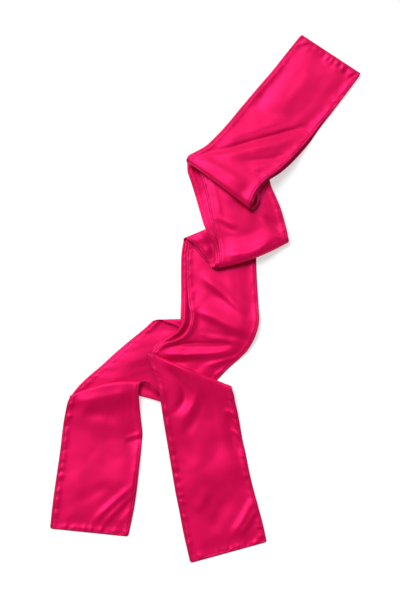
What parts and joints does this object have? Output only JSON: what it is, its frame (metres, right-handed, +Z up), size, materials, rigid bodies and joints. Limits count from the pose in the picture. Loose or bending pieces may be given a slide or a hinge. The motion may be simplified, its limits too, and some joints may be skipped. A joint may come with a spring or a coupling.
{
  "type": "satin scarf",
  "caption": "Long narrow satin scarf, doubled near its middle and laid flat in loose accordion folds, with two loose tails.",
  "frame": {"origin": "on the surface the scarf lies on, under the middle of its bounding box", "axes": "+Z up from the surface; +Y along the scarf's laid length, from the two loose tails towards the doubled end; +X to the right as seen from the tails"},
  "size_m": [0.4142, 0.7064, 0.0245],
  "materials": {
    "satin": "glossy crimson-pink satin with a soft, broad sheen"
  },
  "bodies": {
    "root": {"tail_top_upper": "satin", "tail_top_lower": "satin", "tuck_top": "satin", "bend_upper": "satin", "bend_lower": "satin", "return_upper": "satin", "return_lower": "satin", "run_upper": "satin", "run_lower": "satin", "tuck_right": "satin", "tail_right": "satin", "tuck_left": "satin", "cross_left": "satin", "wedge_left": "satin", "tail_left": "satin"}
  },
  "joints": []
}
